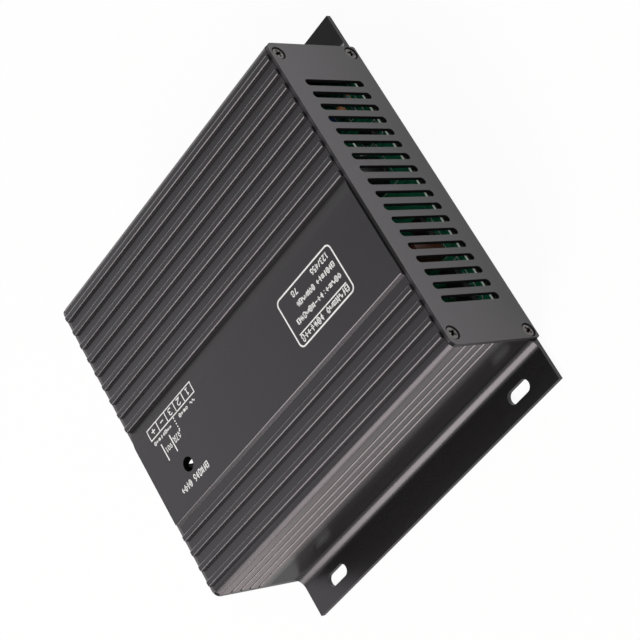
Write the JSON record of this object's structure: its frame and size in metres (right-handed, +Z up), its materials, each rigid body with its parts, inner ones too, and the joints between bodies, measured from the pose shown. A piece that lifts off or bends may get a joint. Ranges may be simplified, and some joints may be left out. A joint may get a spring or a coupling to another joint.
{
  "type": "generator battery charger",
  "caption": "Mains battery charger in a ridged black aluminium extrusion with slotted side flanges, a vented end plate, screw terminals at the other end and a charge lamp.",
  "frame": {"origin": "centre of the slot pattern of the mounting flanges, on the plane that the flanges rest on", "axes": "+X along the extrusion towards the wiring terminals, +Y across it towards the narrow group of ridges, +Z up"},
  "size_m": [0.1725, 0.175, 0.0491],
  "materials": {
    "anodised_black": "satin black anodised",
    "plate_black": "fine matt black coat",
    "screw_black": "black oxide",
    "zinc_steel": "bright zinc plate",
    "insulating_film": "clouded film",
    "board_green": "green solder mask",
    "terminal_black": "moulded, satin",
    "tinned_metal": "tinned",
    "lamp_plastic": "tinted clear resin",
    "spacer_white": "moulded",
    "ferrite": "sintered, dull",
    "coil_core_yellow": "enamelled powder core",
    "coil_core_green": "coated ferrite ring",
    "bobbin_plastic": "moulded",
    "winding_tape": "yellow polyester tape",
    "enamelled_copper": "enamelled wire",
    "capacitor_sleeve": "shrunk sleeve on an aluminium can",
    "film_box_yellow": "moulded box",
    "film_box_brown": "dipped coat",
    "ceramic_orange": "dipped coat",
    "device_epoxy": "moulded epoxy",
    "pad_grey": "soft sheet",
    "fuse_glass": "clear",
    "thermistor_green": "dipped coat",
    "varistor_blue": "dipped coat",
    "resistor_blue": "lacquered",
    "trimmer_blue": "moulded"
  },
  "bodies": {
    "root": {"housing": "anodised_black", "base_plate": "zinc_steel", "insulating_sheet": "insulating_film", "vent_end_plate": "plate_black", "terminal_end_plate": "plate_black", "vent_plate_screws": "screw_black", "terminal_plate_screws": "screw_black", "circuit_board": "board_green", "terminal_body": "terminal_black", "terminal_clamps": "tinned_metal", "terminal_screws": "zinc_steel", "charge_lamp": "lamp_plastic", "lamp_spacer": "spacer_white", "transformer_core_lower": "ferrite", "transformer_core_upper": "ferrite", "transformer_bobbin": "bobbin_plastic", "transformer_winding": "winding_tape", "output_coil_core": "coil_core_yellow", "output_coil_winding": "enamelled_copper", "filter_coil_base": "bobbin_plastic", "filter_coil_core": "coil_core_green", "filter_coil_windings": "enamelled_copper", "smoothing_capacitor": "capacitor_sleeve", "output_capacitors": "capacitor_sleeve", "supply_capacitor": "capacitor_sleeve", "line_capacitor": "film_box_yellow", "film_capacitor": "film_box_brown", "ceramic_capacitor": "ceramic_orange", "bridge_rectifier": "device_epoxy", "switch_transistor": "device_epoxy", "output_rectifier": "device_epoxy", "device_pads": "pad_grey", "device_screws": "zinc_steel", "fuse_glass": "fuse_glass", "fuse_caps": "tinned_metal", "fuse_clips": "tinned_metal", "inrush_thermistor": "thermistor_green", "surge_varistor": "varistor_blue", "optocoupler": "device_epoxy", "timer_chip": "device_epoxy", "control_chip": "device_epoxy", "sense_resistor": "resistor_blue", "small_resistors": "resistor_blue", "trimmer_body": "trimmer_blue", "trimmer_rotor": "spacer_white"}
  },
  "joints": []
}
